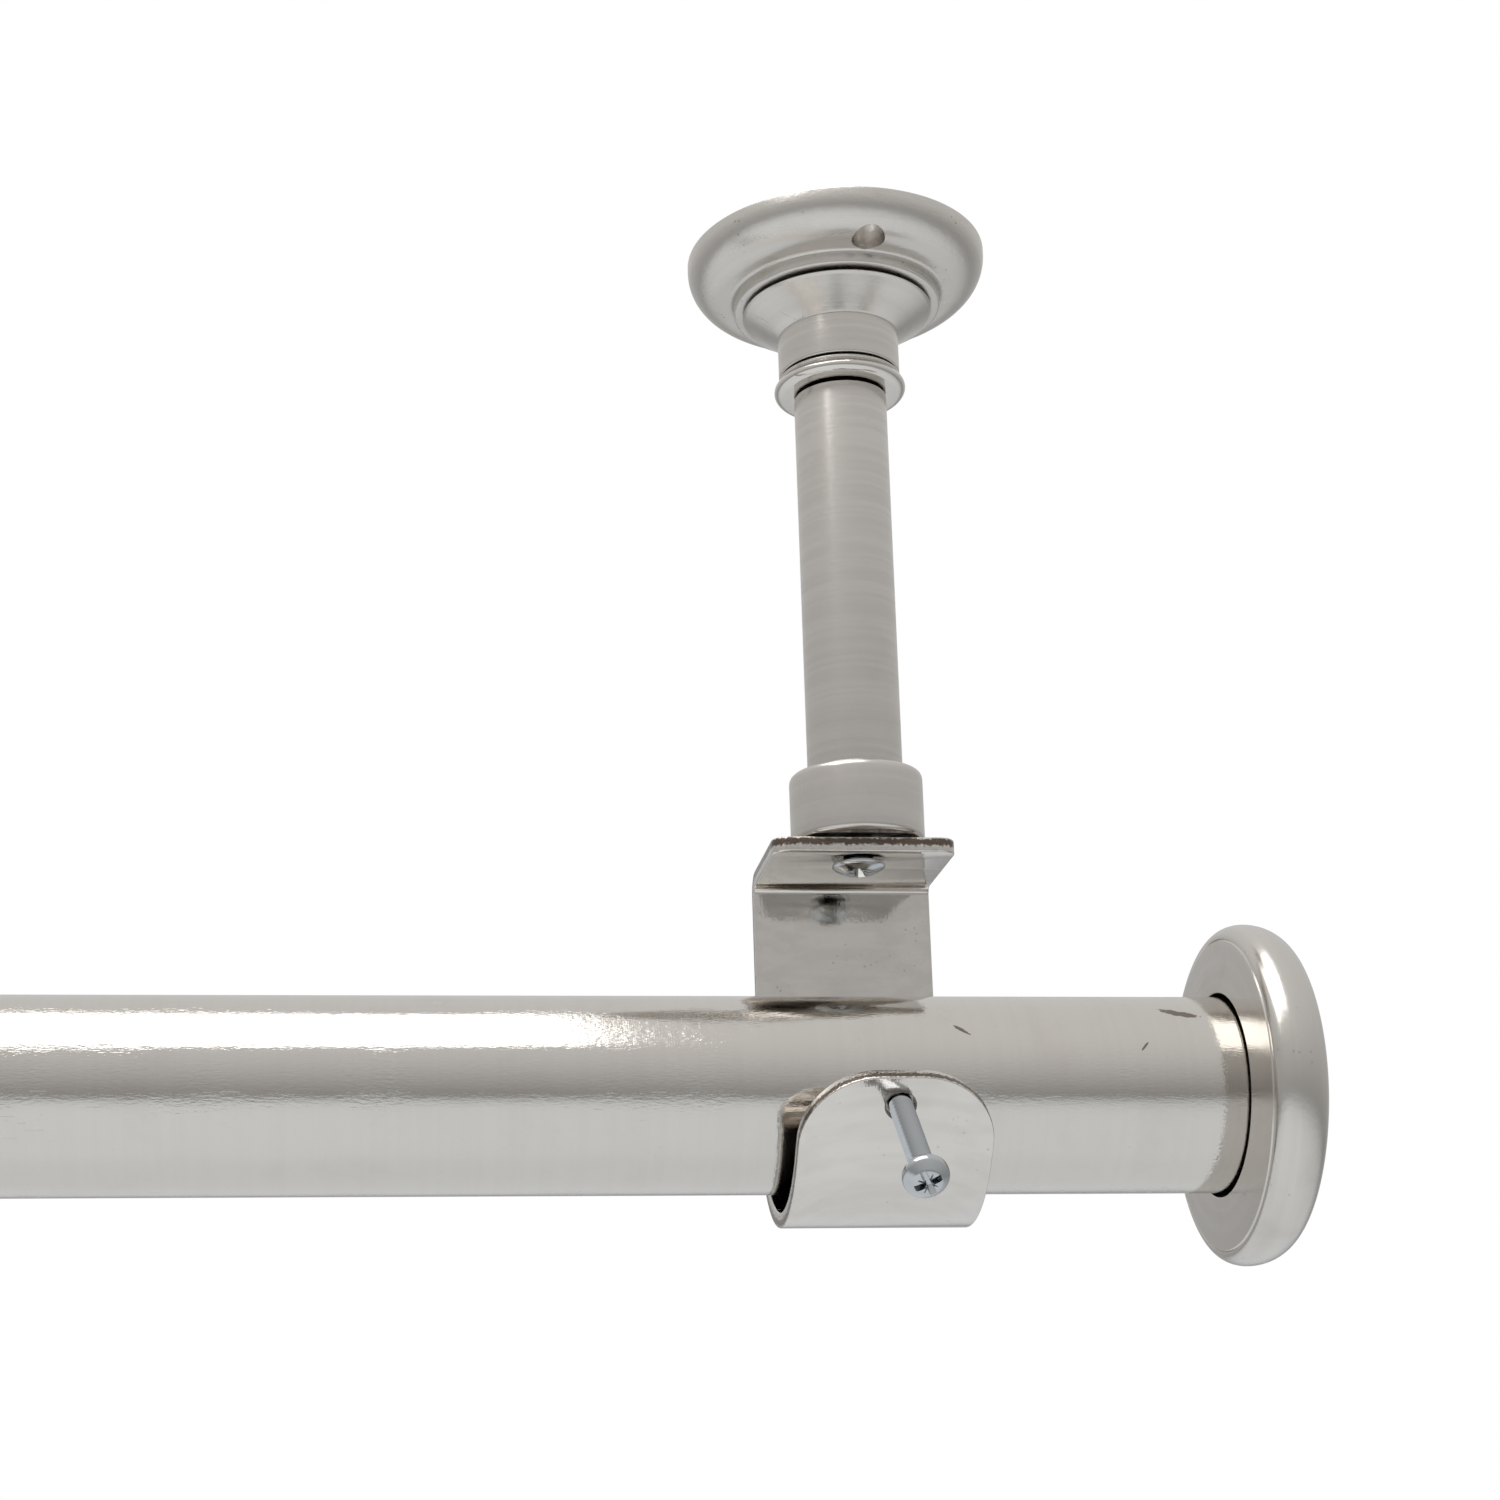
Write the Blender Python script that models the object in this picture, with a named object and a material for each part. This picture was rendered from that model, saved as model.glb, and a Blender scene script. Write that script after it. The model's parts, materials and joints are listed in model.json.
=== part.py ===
"""A telescoping curtain rod that hangs below a ceiling from two brackets.

The rod is an outer tube with an inner tube sliding in it, and a round cap on each end. Each
bracket is a ceiling flange, a cone, a bead, a post and a collar, held together by a stud, with
a bent strip under it that cradles the rod and a set screw that clamps it.

Metres, +Z up. The origin is the centre of the right flange's flat back, in the ceiling's
plane. +X runs along the rod towards its right end, and -Y is the side that the rod lifts in
and out of.
"""

from math import cos, pi, radians, sin

import bmesh
import bpy

# Gaps. SEAT_GAP lies between faces that touch, the others are clearances on the radius.
SEAT_GAP = 0.0003
SCREW_CLEARANCE = 0.0003
PLUG_CLEARANCE = 0.0003
TELESCOPE_CLEARANCE = 0.0008
CAP_CLEARANCE = 0.0005

# Rod, along X.
ROD_LENGTH_CLOSED = 0.7112
OUTER_TUBE_DIAMETER = 0.0254
TUBE_WALL = 0.0008
INNER_TUBE_SHOWING = 0.1010
INNER_TUBE_END_ROOM = 0.0070
GUIDE_LENGTH = 0.0200
GUIDE_WALL = 0.0020

# End caps and the plugs that hold them. Depths run outward from the face round the tube.
BRACKET_TO_CAP = 0.0458
CAP_DEPTH = 0.0080
CAP_FACE_WIDTH = 0.0054
CAP_FACE_SLOPE = 0.0004
CAP_RIM_WIDTH = 0.0035
CAP_RIM_FROM_FACE = 0.0032
CAP_END_WALL = 0.0016
SPIGOT_DIAMETER = 0.0080
SPIGOT_LENGTH = 0.0180
PLUG_LENGTH = 0.0220

# Ceiling flange, cone and neck, bead, post and collar, all round and on one upright axis.
FLANGE_DEPTH = 0.0076
FLANGE_EDGE = 0.0009
FLANGE_RIM_WIDTH = 0.0046
FLANGE_FACE_WIDTH = 0.0016
FLANGE_BACK_WALL = 0.0020
HUB_HEIGHT = 0.0020
HUB_MARGIN = 0.0007
FLANGE_HOLE_DIAMETER = 0.0044
FLANGE_HOLE_MARGIN = 0.0002
FLANGE_HOLE_TURN = radians(-85)
CONE_BASE_DIAMETER = 0.0268
CONE_HEIGHT = 0.0038
NECK_DIAMETER = 0.0164
NECK_HEIGHT = 0.0057
BEAD_DIAMETER = 0.0178
BEAD_HEIGHT = 0.0026
POST_DIAMETER = 0.0125
POST_WALL = 0.0012
POST_LENGTH = 0.05345
COLLAR_DIAMETER = 0.0175
COLLAR_HEIGHT = 0.00935
COLLAR_ROUNDING = 0.0010
COLLAR_WEB = 0.0017
STUD_DIAMETER = 0.0060

# Rod holder: a strip of sheet, flat at the top, bent down and round under the rod to a lip.
SHEET = 0.0020
HOLDER_WIDTH = 0.0240
PLATE_FRONT = 0.0052
PLATE_CORNER = 0.0022
PLATE_ABOVE_ROD = 0.0183
BEND_RADIUS = 0.0010
BACK_BEHIND_POST = 0.0130
CRADLE_SLACK = 0.0025
LIP_FLARE = radians(40)
LIP_LENGTH = 0.0118
LIP_CORNER = 0.0095
LIP_SCREW_FROM_TIP = 0.0040

# Screws.
HOLDER_SCREW_DIAMETER = 0.0040
HOLDER_HEAD_DIAMETER = 0.0070
HOLDER_HEAD_HEIGHT = 0.0013
SET_SCREW_DIAMETER = 0.0030
SET_SCREW_LENGTH = 0.0180
SET_SCREW_STANDOFF = 0.0155
SET_HEAD_DIAMETER = 0.0056
SET_HEAD_HEIGHT = 0.0022
SET_TIP_CHAMFER = 0.0006
HEAD_ROUNDING = 0.0010

# Facets of a turned piece, by size.
LARGE = 36
MEDIUM = 28
SMALL = 16
ARC_STEPS = 4
CRADLE_STEPS = 14

# Sizes worked out from the ones above.
OUTER_RADIUS = OUTER_TUBE_DIAMETER / 2
INNER_RADIUS = OUTER_RADIUS - TUBE_WALL - TELESCOPE_CLEARANCE
CAP_RADIUS = OUTER_RADIUS + CAP_CLEARANCE + CAP_FACE_WIDTH + CAP_RIM_WIDTH
HUB_RADIUS = CONE_BASE_DIAMETER / 2 + HUB_MARGIN
FLANGE_RADIUS = HUB_RADIUS + FLANGE_FACE_WIDTH + FLANGE_RIM_WIDTH
CRADLE_RADIUS = OUTER_RADIUS + CRADLE_SLACK
HOLDER_SCREW_HOLE = HOLDER_SCREW_DIAMETER / 2 + SCREW_CLEARANCE
STUD_HOLE = STUD_DIAMETER / 2 + SCREW_CLEARANCE
LIP_ANGLE = LIP_FLARE - pi
LIP_SCREW_UP = LIP_LENGTH - LIP_SCREW_FROM_TIP
SIDES = (("right", 1, OUTER_RADIUS), ("left", -1, INNER_RADIUS))

# Places along the rod. The left end mirrors the right one about the middle of the closed rod.
RIGHT_CAP_FACE = BRACKET_TO_CAP
LEFT_CAP_FACE = RIGHT_CAP_FACE + 2 * CAP_DEPTH - ROD_LENGTH_CLOSED
LEFT_BRACKET = LEFT_CAP_FACE + BRACKET_TO_CAP
TUBE_END_IN_CAP = CAP_DEPTH - CAP_END_WALL - SEAT_GAP

# Heights down the bracket, below the ceiling.
CONE_TOP = -FLANGE_DEPTH - SEAT_GAP
NECK_BOTTOM = CONE_TOP - CONE_HEIGHT - NECK_HEIGHT
BEAD_TOP = NECK_BOTTOM - SEAT_GAP
POST_TOP = BEAD_TOP - BEAD_HEIGHT - SEAT_GAP
COLLAR_TOP = POST_TOP - POST_LENGTH - SEAT_GAP
PLATE_TOP = COLLAR_TOP - COLLAR_HEIGHT - SEAT_GAP
PLATE_BOTTOM = PLATE_TOP - SHEET
ROD_Z = PLATE_BOTTOM - PLATE_ABOVE_ROD - OUTER_RADIUS
ROD_Y = BACK_BEHIND_POST - SEAT_GAP - OUTER_RADIUS

# Colour, metallic value and roughness of each finish.
SATIN = (0.62, 0.59, 0.55), 1.0, 0.34
POLISHED = (0.66, 0.63, 0.59), 1.0, 0.16
ZINC = (0.72, 0.74, 0.76), 1.0, 0.22
PLASTIC = (0.06, 0.06, 0.06), 0.0, 0.55


def clear_scene():
    for old in list(bpy.data.objects):
        bpy.data.objects.remove(old)


def principled(name, finish):
    colour, metallic, roughness = finish
    material = bpy.data.materials.new(name)
    material.use_nodes = True
    shader = material.node_tree.nodes["Principled BSDF"]
    shader.inputs["Base Color"].default_value = (*colour, 1)
    shader.inputs["Metallic"].default_value = metallic
    shader.inputs["Roughness"].default_value = roughness
    return material


def new_object(name, shape, finish, parent):
    """Turns a bmesh into a smooth-shaded object under its parent."""
    bmesh.ops.recalc_face_normals(shape, faces=shape.faces)
    mesh = bpy.data.meshes.new(name)
    shape.to_mesh(mesh)
    shape.free()
    mesh.shade_smooth()
    mesh.set_sharp_from_angle(angle=radians(32))
    mesh.materials.append(principled(name, finish))
    made = bpy.data.objects.new(name, mesh)
    made.parent = parent
    bpy.context.scene.collection.objects.link(made)
    return made


def empty(name, location, rotation=(0, 0, 0)):
    made = bpy.data.objects.new(name, None)
    made.location = location
    made.rotation_euler = rotation
    bpy.context.scene.collection.objects.link(made)
    return made


def arc(centre, radii, start, end, steps=ARC_STEPS):
    """Points of an ellipse about centre, from one angle in degrees to another."""
    angles = [radians(start + (end - start) * step / steps) for step in range(steps + 1)]
    return [(centre[0] + radii[0] * cos(a), centre[1] + radii[1] * sin(a)) for a in angles]


def turned(name, outline, finish, parent, steps=LARGE):
    """A closed outline of (radius, height) points, turned about Z."""
    shape = bmesh.new()
    ring = [shape.verts.new((radius, 0, height)) for radius, height in outline]
    pairs = zip(ring, ring[1:] + ring[:1])
    edges = [shape.edges.new(pair) for pair in pairs if pair[0].co.x or pair[1].co.x]
    bmesh.ops.spin(shape, geom=ring + edges, axis=(0, 0, 1), angle=2 * pi, steps=steps)
    bmesh.ops.remove_doubles(shape, verts=shape.verts, dist=1e-6)
    return new_object(name, shape, finish, parent)


def sleeve(name, radii, heights, finish, parent, steps=LARGE):
    """A plain tube between two radii and two heights."""
    outline = [(radius, height) for radius in radii for height in heights]
    outline[2:] = reversed(outline[2:])
    return turned(name, outline, finish, parent, steps)


def drill(target, name, radius, depth, location, rotation=(0, 0, 0)):
    """Cuts a round hole through target, centred at location in the space of its parent."""
    shape = bmesh.new()
    bmesh.ops.create_cone(
        shape, cap_ends=True, segments=SMALL, radius1=radius, radius2=radius, depth=depth
    )
    cutter = new_object(name, shape, SATIN, target.parent)
    cutter.location = location
    cutter.rotation_euler = rotation
    cutter.hide_render = True
    cutter.display_type = "WIRE"
    cut = target.modifiers.new(name, "BOOLEAN")
    cut.operation = "DIFFERENCE"
    cut.object = cutter


def make_flange(side, bracket):
    """A domed disc, flat at the back, with a raised hub round a blind hole for the stud."""
    face = HUB_HEIGHT - FLANGE_DEPTH
    rim_centre = (FLANGE_RADIUS - FLANGE_RIM_WIDTH, -FLANGE_EDGE)
    outline = [
        (0, 0),
        (FLANGE_RADIUS, 0),
        *arc(rim_centre, (FLANGE_RIM_WIDTH, -FLANGE_EDGE - face), 0, -90),
        (HUB_RADIUS, face),
        (HUB_RADIUS, -FLANGE_DEPTH),
        (STUD_HOLE, -FLANGE_DEPTH),
        (STUD_HOLE, -FLANGE_BACK_WALL),
        (0, -FLANGE_BACK_WALL),
    ]
    flange = turned(f"{side}_ceiling_flange", outline, SATIN, bracket)
    hole = FLANGE_HOLE_DIAMETER / 2
    reach = HUB_RADIUS + FLANGE_HOLE_MARGIN + hole
    for number, turn in enumerate((FLANGE_HOLE_TURN, FLANGE_HOLE_TURN + pi)):
        place = (reach * cos(turn), reach * sin(turn), -FLANGE_DEPTH / 2)
        drill(flange, f"{side}_flange_hole_{number}", hole, 2 * FLANGE_DEPTH, place)


def make_cone(side, bracket):
    """The cone under the flange, with the neck that it narrows to."""
    outline = [
        (STUD_HOLE, CONE_TOP),
        (CONE_BASE_DIAMETER / 2, CONE_TOP),
        (NECK_DIAMETER / 2, CONE_TOP - CONE_HEIGHT),
        (NECK_DIAMETER / 2, NECK_BOTTOM),
        (STUD_HOLE, NECK_BOTTOM),
    ]
    turned(f"{side}_flange_cone", outline, SATIN, bracket)


def make_bead(side, bracket):
    half = BEAD_HEIGHT / 2
    centre = (BEAD_DIAMETER / 2 - half, BEAD_TOP - half)
    outline = [
        (STUD_HOLE, BEAD_TOP),
        *arc(centre, (half, half), 90, -90, 2 * ARC_STEPS),
        (STUD_HOLE, BEAD_TOP - BEAD_HEIGHT),
    ]
    turned(f"{side}_trim_bead", outline, POLISHED, bracket)


def make_post(side, bracket):
    radius = POST_DIAMETER / 2
    heights = (POST_TOP, POST_TOP - POST_LENGTH)
    sleeve(f"{side}_post_tube", (radius, radius - POST_WALL), heights, SATIN, bracket, MEDIUM)


def make_collar(side, bracket):
    """The collar under the post: the stud screws in from above, the holder's screw from below."""
    radius = COLLAR_DIAMETER / 2
    bottom = COLLAR_TOP - COLLAR_HEIGHT
    middle = (COLLAR_TOP + bottom) / 2
    rounding = (radius - COLLAR_ROUNDING, COLLAR_TOP - COLLAR_ROUNDING)
    outline = [
        (0, middle + COLLAR_WEB / 2),
        (STUD_HOLE, middle + COLLAR_WEB / 2),
        (STUD_HOLE, COLLAR_TOP),
        *arc(rounding, (COLLAR_ROUNDING, COLLAR_ROUNDING), 90, 0),
        (radius, bottom),
        (HOLDER_SCREW_HOLE, bottom),
        (HOLDER_SCREW_HOLE, middle - COLLAR_WEB / 2),
        (0, middle - COLLAR_WEB / 2),
    ]
    turned(f"{side}_post_collar", outline, SATIN, bracket)


def make_stud(side, bracket):
    """The stud from the flange's hub, down through the post, to the collar."""
    top = -FLANGE_BACK_WALL - SEAT_GAP
    bottom = COLLAR_TOP - (COLLAR_HEIGHT - COLLAR_WEB) / 2 + SEAT_GAP
    radius = STUD_DIAMETER / 2
    outline = [(0, top), (radius, top), (radius, bottom), (0, bottom)]
    turned(f"{side}_post_stud", outline, ZINC, bracket, SMALL)


def strip_end(corner):
    """(distance from the end, half width) down one rounded end of the strip."""
    ends = arc((0, 0), (corner, corner), 90, 0)
    return [(corner - along, HOLDER_WIDTH / 2 - corner + across) for across, along in ends]


def lip_point(up, out=0):
    """(y, z) on the lip, up from where it leaves the cradle and out from its inner face."""
    reach = CRADLE_RADIUS + out
    y = BACK_BEHIND_POST - CRADLE_RADIUS + reach * cos(LIP_ANGLE) + up * sin(LIP_ANGLE)
    z = ROD_Z + reach * sin(LIP_ANGLE) - up * cos(LIP_ANGLE)
    return y, z


def strip_stations():
    """(y, z) on the strip's inner face, the angle it faces away at, and the half width."""
    stations = [
        (along - PLATE_FRONT, PLATE_BOTTOM, pi / 2, half) for along, half in strip_end(PLATE_CORNER)
    ]
    bend = (BACK_BEHIND_POST - BEND_RADIUS, PLATE_BOTTOM - BEND_RADIUS)
    cradle = (BACK_BEHIND_POST - CRADLE_RADIUS, ROD_Z)
    for centre, radius, start, end, steps in (
        (bend, BEND_RADIUS, pi / 2, 0, ARC_STEPS),
        (cradle, CRADLE_RADIUS, 0, LIP_ANGLE, CRADLE_STEPS),
    ):
        for step in range(steps + 1):
            angle = start + (end - start) * step / steps
            y = centre[0] + radius * cos(angle)
            z = centre[1] + radius * sin(angle)
            stations.append((y, z, angle, HOLDER_WIDTH / 2))
    for along, half in reversed(strip_end(LIP_CORNER)):
        stations.append((*lip_point(LIP_LENGTH - along), LIP_ANGLE, half))
    return stations


def make_holder(side, bracket):
    """The strip: a section of four corners, carried along the stations and closed at the ends."""
    shape = bmesh.new()
    sections = []
    for y, z, angle, half in strip_stations():
        outer = (y + SHEET * cos(angle), z + SHEET * sin(angle))
        corners = ((-half, y, z), (half, y, z), (half, *outer), (-half, *outer))
        sections.append([shape.verts.new(corner) for corner in corners])
    for first, second in zip(sections, sections[1:]):
        for k in range(4):
            shape.faces.new((first[k - 1], first[k], second[k], second[k - 1]))
    shape.faces.new(sections[0])
    shape.faces.new(sections[-1])
    holder = new_object(f"{side}_rod_holder", shape, POLISHED, bracket)
    plate = (0, 0, PLATE_BOTTOM + SHEET / 2)
    drill(holder, f"{side}_plate_hole", HOLDER_SCREW_HOLE, 2 * SHEET, plate)
    lip = (0, *lip_point(LIP_SCREW_UP, SHEET / 2))
    radius = SET_SCREW_DIAMETER / 2 + SCREW_CLEARANCE
    drill(holder, f"{side}_lip_hole", radius, 2 * SHEET, lip, (LIP_ANGLE - pi / 2, 0, 0))


def pan_head(radius, base, top):
    """The outline of a screw's head from its underside to the axis, rounded at the top."""
    up = 1 if top > base else -1
    centre = (radius - HEAD_ROUNDING, top - up * HEAD_ROUNDING)
    curve = arc(centre, (HEAD_ROUNDING, up * HEAD_ROUNDING), 0, 90)
    return [(radius, base), *curve, (0, top)]


def make_holder_screw(side, bracket):
    """The screw up through the plate and into the collar, its head under the plate."""
    radius = HOLDER_SCREW_DIAMETER / 2
    top = COLLAR_TOP - (COLLAR_HEIGHT + COLLAR_WEB) / 2 - SEAT_GAP
    under = PLATE_BOTTOM - SEAT_GAP
    head = pan_head(HOLDER_HEAD_DIAMETER / 2, under, under - HOLDER_HEAD_HEIGHT)
    outline = [(0, top), (radius, top), (radius, under), *head]
    turned(f"{side}_holder_screw", outline, ZINC, bracket, SMALL)


def make_set_screw(side, bracket):
    """The screw through the lip. Its heights run outward from the lip's outer face."""
    radius = SET_SCREW_DIAMETER / 2
    tip = SET_SCREW_STANDOFF - SET_SCREW_LENGTH
    top = SET_SCREW_STANDOFF + SET_HEAD_HEIGHT
    outline = [
        (0, tip),
        (radius - SET_TIP_CHAMFER, tip),
        (radius, tip + SET_TIP_CHAMFER),
        (radius, SET_SCREW_STANDOFF),
        *pan_head(SET_HEAD_DIAMETER / 2, SET_SCREW_STANDOFF, top),
    ]
    screw = turned(f"{side}_set_screw", outline, ZINC, bracket, SMALL)
    screw.location = (0, *lip_point(LIP_SCREW_UP, SHEET))
    screw.rotation_euler = (LIP_ANGLE - pi / 2, 0, 0)


def make_bracket(side, sign, tube_radius):
    """One bracket. It sits so that its back plate meets its own tube."""
    x = 0 if sign > 0 else LEFT_BRACKET
    bracket = empty(f"{side}_bracket", (x, tube_radius - OUTER_RADIUS, 0))
    make_flange(side, bracket)
    make_cone(side, bracket)
    make_bead(side, bracket)
    make_post(side, bracket)
    make_collar(side, bracket)
    make_stud(side, bracket)
    make_holder(side, bracket)
    make_holder_screw(side, bracket)
    make_set_screw(side, bracket)


def make_cap(side, sign, tube_radius, rod):
    """A round cap with a socket for the tube's end and a spigot for the plug."""
    bore = tube_radius + CAP_CLEARANCE
    rim = CAP_RADIUS - CAP_RIM_WIDTH
    floor = CAP_DEPTH - CAP_END_WALL
    spigot = SPIGOT_DIAMETER / 2
    front = (CAP_RIM_WIDTH, CAP_RIM_FROM_FACE - CAP_FACE_SLOPE)
    back = (CAP_RIM_WIDTH, CAP_DEPTH - CAP_RIM_FROM_FACE)
    outline = [
        (bore, 0),
        *arc((rim, CAP_RIM_FROM_FACE), front, -90, 0),
        *arc((rim, CAP_RIM_FROM_FACE), back, 0, 90)[1:],
        (0, CAP_DEPTH),
        (0, floor - SPIGOT_LENGTH),
        (spigot, floor - SPIGOT_LENGTH),
        (spigot, floor),
        (bore, floor),
    ]
    cap = turned(f"{side}_end_cap", outline, SATIN, rod)
    cap.location = (0, 0, RIGHT_CAP_FACE if sign > 0 else LEFT_CAP_FACE)
    cap.rotation_euler = (0 if sign > 0 else pi, 0, 0)


def make_plug(side, sign, tube_radius, rod):
    """A plastic sleeve in the tube's end, with a bore for the cap's spigot."""
    radii = (tube_radius - TUBE_WALL - PLUG_CLEARANCE, SPIGOT_DIAMETER / 2 + PLUG_CLEARANCE)
    heights = (TUBE_END_IN_CAP - PLUG_LENGTH, TUBE_END_IN_CAP)
    plug = sleeve(f"{side}_cap_plug", radii, heights, PLASTIC, rod, MEDIUM)
    plug.location = (0, 0, RIGHT_CAP_FACE if sign > 0 else LEFT_CAP_FACE)
    plug.rotation_euler = (0 if sign > 0 else pi, 0, 0)


def make_tubes(rod):
    """The outer tube on the right, and the inner tube that slides out of it to the left."""
    right_end = RIGHT_CAP_FACE + TUBE_END_IN_CAP
    left_end = LEFT_CAP_FACE - TUBE_END_IN_CAP
    outer = (LEFT_CAP_FACE + INNER_TUBE_SHOWING, right_end)
    inner = (left_end, right_end - PLUG_LENGTH - INNER_TUBE_END_ROOM)
    sleeve("outer_tube", (OUTER_RADIUS, OUTER_RADIUS - TUBE_WALL), outer, SATIN, rod)
    sleeve("inner_tube", (INNER_RADIUS, INNER_RADIUS - TUBE_WALL), inner, SATIN, rod)
    make_guide(inner[1], rod)


def make_guide(tube_end, rod):
    """A plastic plug in the inner tube's hidden end. Its shoulder fills the outer tube."""
    stem = INNER_RADIUS - TUBE_WALL - PLUG_CLEARANCE
    shoulder = OUTER_RADIUS - TUBE_WALL - PLUG_CLEARANCE
    hollow = stem - GUIDE_WALL
    shoulder_start = tube_end + SEAT_GAP
    shoulder_end = tube_end + INNER_TUBE_END_ROOM / 2
    outline = [
        (hollow, tube_end - GUIDE_LENGTH),
        (stem, tube_end - GUIDE_LENGTH),
        (stem, shoulder_start),
        (shoulder, shoulder_start),
        (shoulder, shoulder_end),
        (hollow, shoulder_end),
    ]
    turned("inner_tube_guide", outline, PLASTIC, rod, MEDIUM)


clear_scene()
rod_axis = empty("rod_axis", (0, ROD_Y, ROD_Z), (0, pi / 2, 0))
make_tubes(rod_axis)
for side_name, side_sign, side_tube in SIDES:
    make_bracket(side_name, side_sign, side_tube)
    make_cap(side_name, side_sign, side_tube, rod_axis)
    make_plug(side_name, side_sign, side_tube, rod_axis)
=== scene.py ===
import json
from math import atan2, cos, pi, radians, sin, tan

import bmesh
import bpy
from mathutils import Matrix, Vector


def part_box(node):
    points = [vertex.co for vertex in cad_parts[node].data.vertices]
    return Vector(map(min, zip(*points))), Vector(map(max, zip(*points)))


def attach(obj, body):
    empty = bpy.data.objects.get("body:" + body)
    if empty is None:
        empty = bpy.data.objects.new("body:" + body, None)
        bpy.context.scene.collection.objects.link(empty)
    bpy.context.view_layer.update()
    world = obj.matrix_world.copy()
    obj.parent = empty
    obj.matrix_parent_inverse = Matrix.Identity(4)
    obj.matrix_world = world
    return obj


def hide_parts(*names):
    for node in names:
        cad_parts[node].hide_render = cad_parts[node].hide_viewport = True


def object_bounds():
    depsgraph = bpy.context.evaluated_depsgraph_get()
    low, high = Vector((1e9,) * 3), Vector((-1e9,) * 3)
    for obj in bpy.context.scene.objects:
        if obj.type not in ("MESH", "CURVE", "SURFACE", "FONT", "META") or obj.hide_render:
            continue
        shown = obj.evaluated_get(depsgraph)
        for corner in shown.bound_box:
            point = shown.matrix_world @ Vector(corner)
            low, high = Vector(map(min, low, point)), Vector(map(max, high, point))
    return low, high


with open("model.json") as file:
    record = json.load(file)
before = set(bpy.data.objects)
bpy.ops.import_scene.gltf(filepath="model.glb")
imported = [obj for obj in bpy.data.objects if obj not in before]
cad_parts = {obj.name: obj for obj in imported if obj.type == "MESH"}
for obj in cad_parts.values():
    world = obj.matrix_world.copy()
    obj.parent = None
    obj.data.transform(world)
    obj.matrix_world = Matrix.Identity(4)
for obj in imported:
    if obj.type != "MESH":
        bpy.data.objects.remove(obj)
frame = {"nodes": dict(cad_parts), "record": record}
cad_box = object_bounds()
SIDES = ("right", "left")

# Ceiling flanges. Each is a dished disc cast in zinc alloy, turned on its face and plated with
# satin nickel. Two screws through its holes hold it to the ceiling, and the stud screws into
# its raised hub.
FLANGE_EDGE = 0.0009
FLANGE_RIM_WIDTH = 0.0046
FLANGE_HUB_RADIUS = 0.0141
FLANGE_HUB_HEIGHT = 0.0020
FLANGE_BACK_WALL = 0.0020
FLANGE_HOLE_RADIUS = 0.0022
FLANGE_HOLE_REACH = 0.0165
FLANGE_HOLE_TURN = radians(-85)
STUD_HOLE_RADIUS = 0.0033
COLOURS = {entry["slot"]: (*entry["base_color"], 1) for entry in frame["record"]["materials"]}
TARNISH = (0.36, 0.30, 0.25, 1)


def put(tree, kind, given=None, **options):
    """Adds a shader node, its options set and its sockets fed by a value or by an output."""
    made = tree.nodes.new("ShaderNode" + kind)
    for option, choice in options.items():
        setattr(made, option, choice)
    for socket, value in (given or {}).items():
        if isinstance(value, bpy.types.NodeSocket):
            tree.links.new(value, made.inputs[socket])
        else:
            made.inputs[socket].default_value = value
    return made


def maths(tree, operation, first, second=0.0):
    return put(tree, "Math", {0: first, 1: second}, operation=operation).outputs[0]


def rise(tree, value, low, high, start=0.0, end=1.0):
    """Goes smoothly from start to end as the value goes from low to high."""
    given = {"Value": value, "From Min": low, "From Max": high, "To Min": start, "To Max": end}
    return put(tree, "MapRange", given, interpolation_type="SMOOTHSTEP").outputs[0]


def blended(tree, share, first, second):
    return put(tree, "Mix", {0: share, 6: first, 7: second}, data_type="RGBA").outputs[2]


def noise(tree, vector, scale, detail=2.0, roughness=0.5):
    given = {"Vector": vector, "Scale": scale, "Detail": detail, "Roughness": roughness}
    return put(tree, "TexNoise", given).outputs[0]


def finish_group(name, needs, gives):
    """An empty shader group, the sockets that it is given and the ones that it answers on."""
    tree = bpy.data.node_groups.new(name, "ShaderNodeTree")
    tree.interface.new_socket("Vector", in_out="INPUT", socket_type="NodeSocketVector")
    for socket, start in needs.items():
        made = tree.interface.new_socket(socket, in_out="INPUT", socket_type="NodeSocketFloat")
        made.default_value = start
    for socket in gives:
        tree.interface.new_socket(socket, in_out="OUTPUT", socket_type="NodeSocketFloat")
    return tree, tree.nodes.new("NodeGroupInput").outputs, tree.nodes.new("NodeGroupOutput").inputs


def brushing_group():
    """Lines that a belt leaves on a turning piece: rings about Z, each fading as it goes round."""
    tree, given, answer = finish_group("brushing", {"Lines": 3500.0}, ("Height", "Streaks"))
    parts = put(tree, "SeparateXYZ", {0: given["Vector"]}).outputs
    flat = put(tree, "CombineXYZ", {0: parts[0], 1: parts[1]}).outputs[0]
    radius = put(tree, "VectorMath", {0: flat}, operation="LENGTH").outputs["Value"]
    ring = maths(tree, "MULTIPLY", radius, given["Lines"])
    level = maths(tree, "MULTIPLY", parts[2], given["Lines"])
    round_it = maths(tree, "MULTIPLY", maths(tree, "ADD", parts[0], parts[1]), 90.0)
    where = put(tree, "CombineXYZ", {0: ring, 1: level, 2: round_it}).outputs[0]
    tree.links.new(noise(tree, where, 1.0, 3.0, 0.65), answer["Height"])
    tree.links.new(rise(tree, noise(tree, where, 0.13, 2.0, 0.6), 0.36, 0.64), answer["Streaks"])
    return tree


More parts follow.
